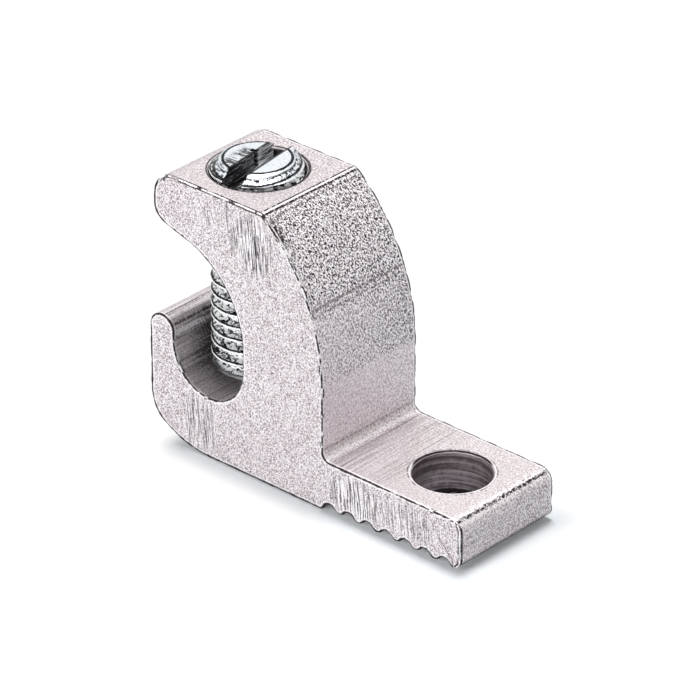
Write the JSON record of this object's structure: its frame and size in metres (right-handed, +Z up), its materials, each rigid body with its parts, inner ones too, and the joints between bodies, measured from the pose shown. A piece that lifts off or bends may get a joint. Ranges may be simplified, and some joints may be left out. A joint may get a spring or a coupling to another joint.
{
  "type": "lay-in lug",
  "caption": "Lay-in grounding lug: an open hook on a drilled foot with a grooved underside, and a slotted set screw that comes down into the conductor channel.",
  "frame": {"origin": "on the stud hole's axis, level with the flat base under the hook; the wall of the hole starts 0.2 mm above it, where the mount is", "axes": "+X runs from the hook towards the foot's free end, +Y lies along the extrusion, +Z is up along the stud hole"},
  "size_m": [0.0271, 0.0092, 0.0206],
  "materials": {
    "body_aluminium": "dull extruded and saw-cut aluminium with bright tumbled edges",
    "screw_steel": "bright zinc plating on turned steel"
  },
  "bodies": {
    "lug": {"lug_body": "body_aluminium"},
    "screw": {"set_screw": "screw_steel"}
  },
  "joints": [
    {"name": "screw_travel", "type": "slide", "parent": "lug", "child": "screw", "axis": [0, 0, 1], "range_m": [0, 0.00907]}
  ]
}
